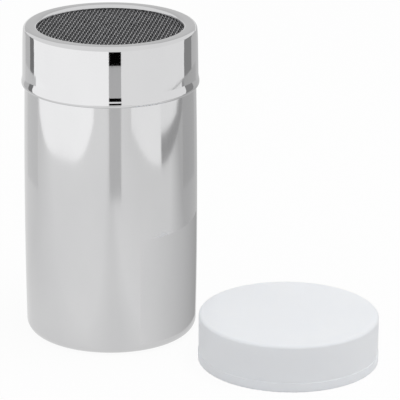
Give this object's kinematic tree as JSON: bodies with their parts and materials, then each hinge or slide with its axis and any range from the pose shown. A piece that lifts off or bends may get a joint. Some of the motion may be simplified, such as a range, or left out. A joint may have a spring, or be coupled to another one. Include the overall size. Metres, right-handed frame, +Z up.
{
  "type": "mesh-topped powder shaker",
  "caption": "Polished steel shaker can for fine powder, with a push-on lid that clamps a wire net, and its translucent over-cap lying beside it.",
  "frame": {"origin": "centre of the can's flat base, on the surface it stands on", "axes": "+Z up along the can's axis; -Y towards the front; the over-cap lies at +X and -Y of the can"},
  "size_m": [0.1454, 0.1079, 0.13],
  "materials": {
    "polished_steel": "polished stainless steel, faintly drawn along the can",
    "net_wire": "dull woven stainless wire",
    "plain_steel": "plain pressed stainless steel",
    "milky_plastic": "translucent milky white polypropylene"
  },
  "bodies": {
    "can": {"can": "polished_steel"},
    "lid": {"lid_shell": "polished_steel", "mesh_disc": "net_wire", "mesh_retaining_ring": "plain_steel"},
    "cap": {"dust_cap": "milky_plastic"}
  },
  "joints": [
    {"name": "lid_lift", "type": "slide", "parent": "can", "child": "lid", "axis": [0, 0, 1], "range_m": [0, 0.06]},
    {"name": "cap_lift", "type": "slide", "parent": "can", "child": "cap", "axis": [0, 0, 1], "range_m": [0, 0.06]}
  ]
}
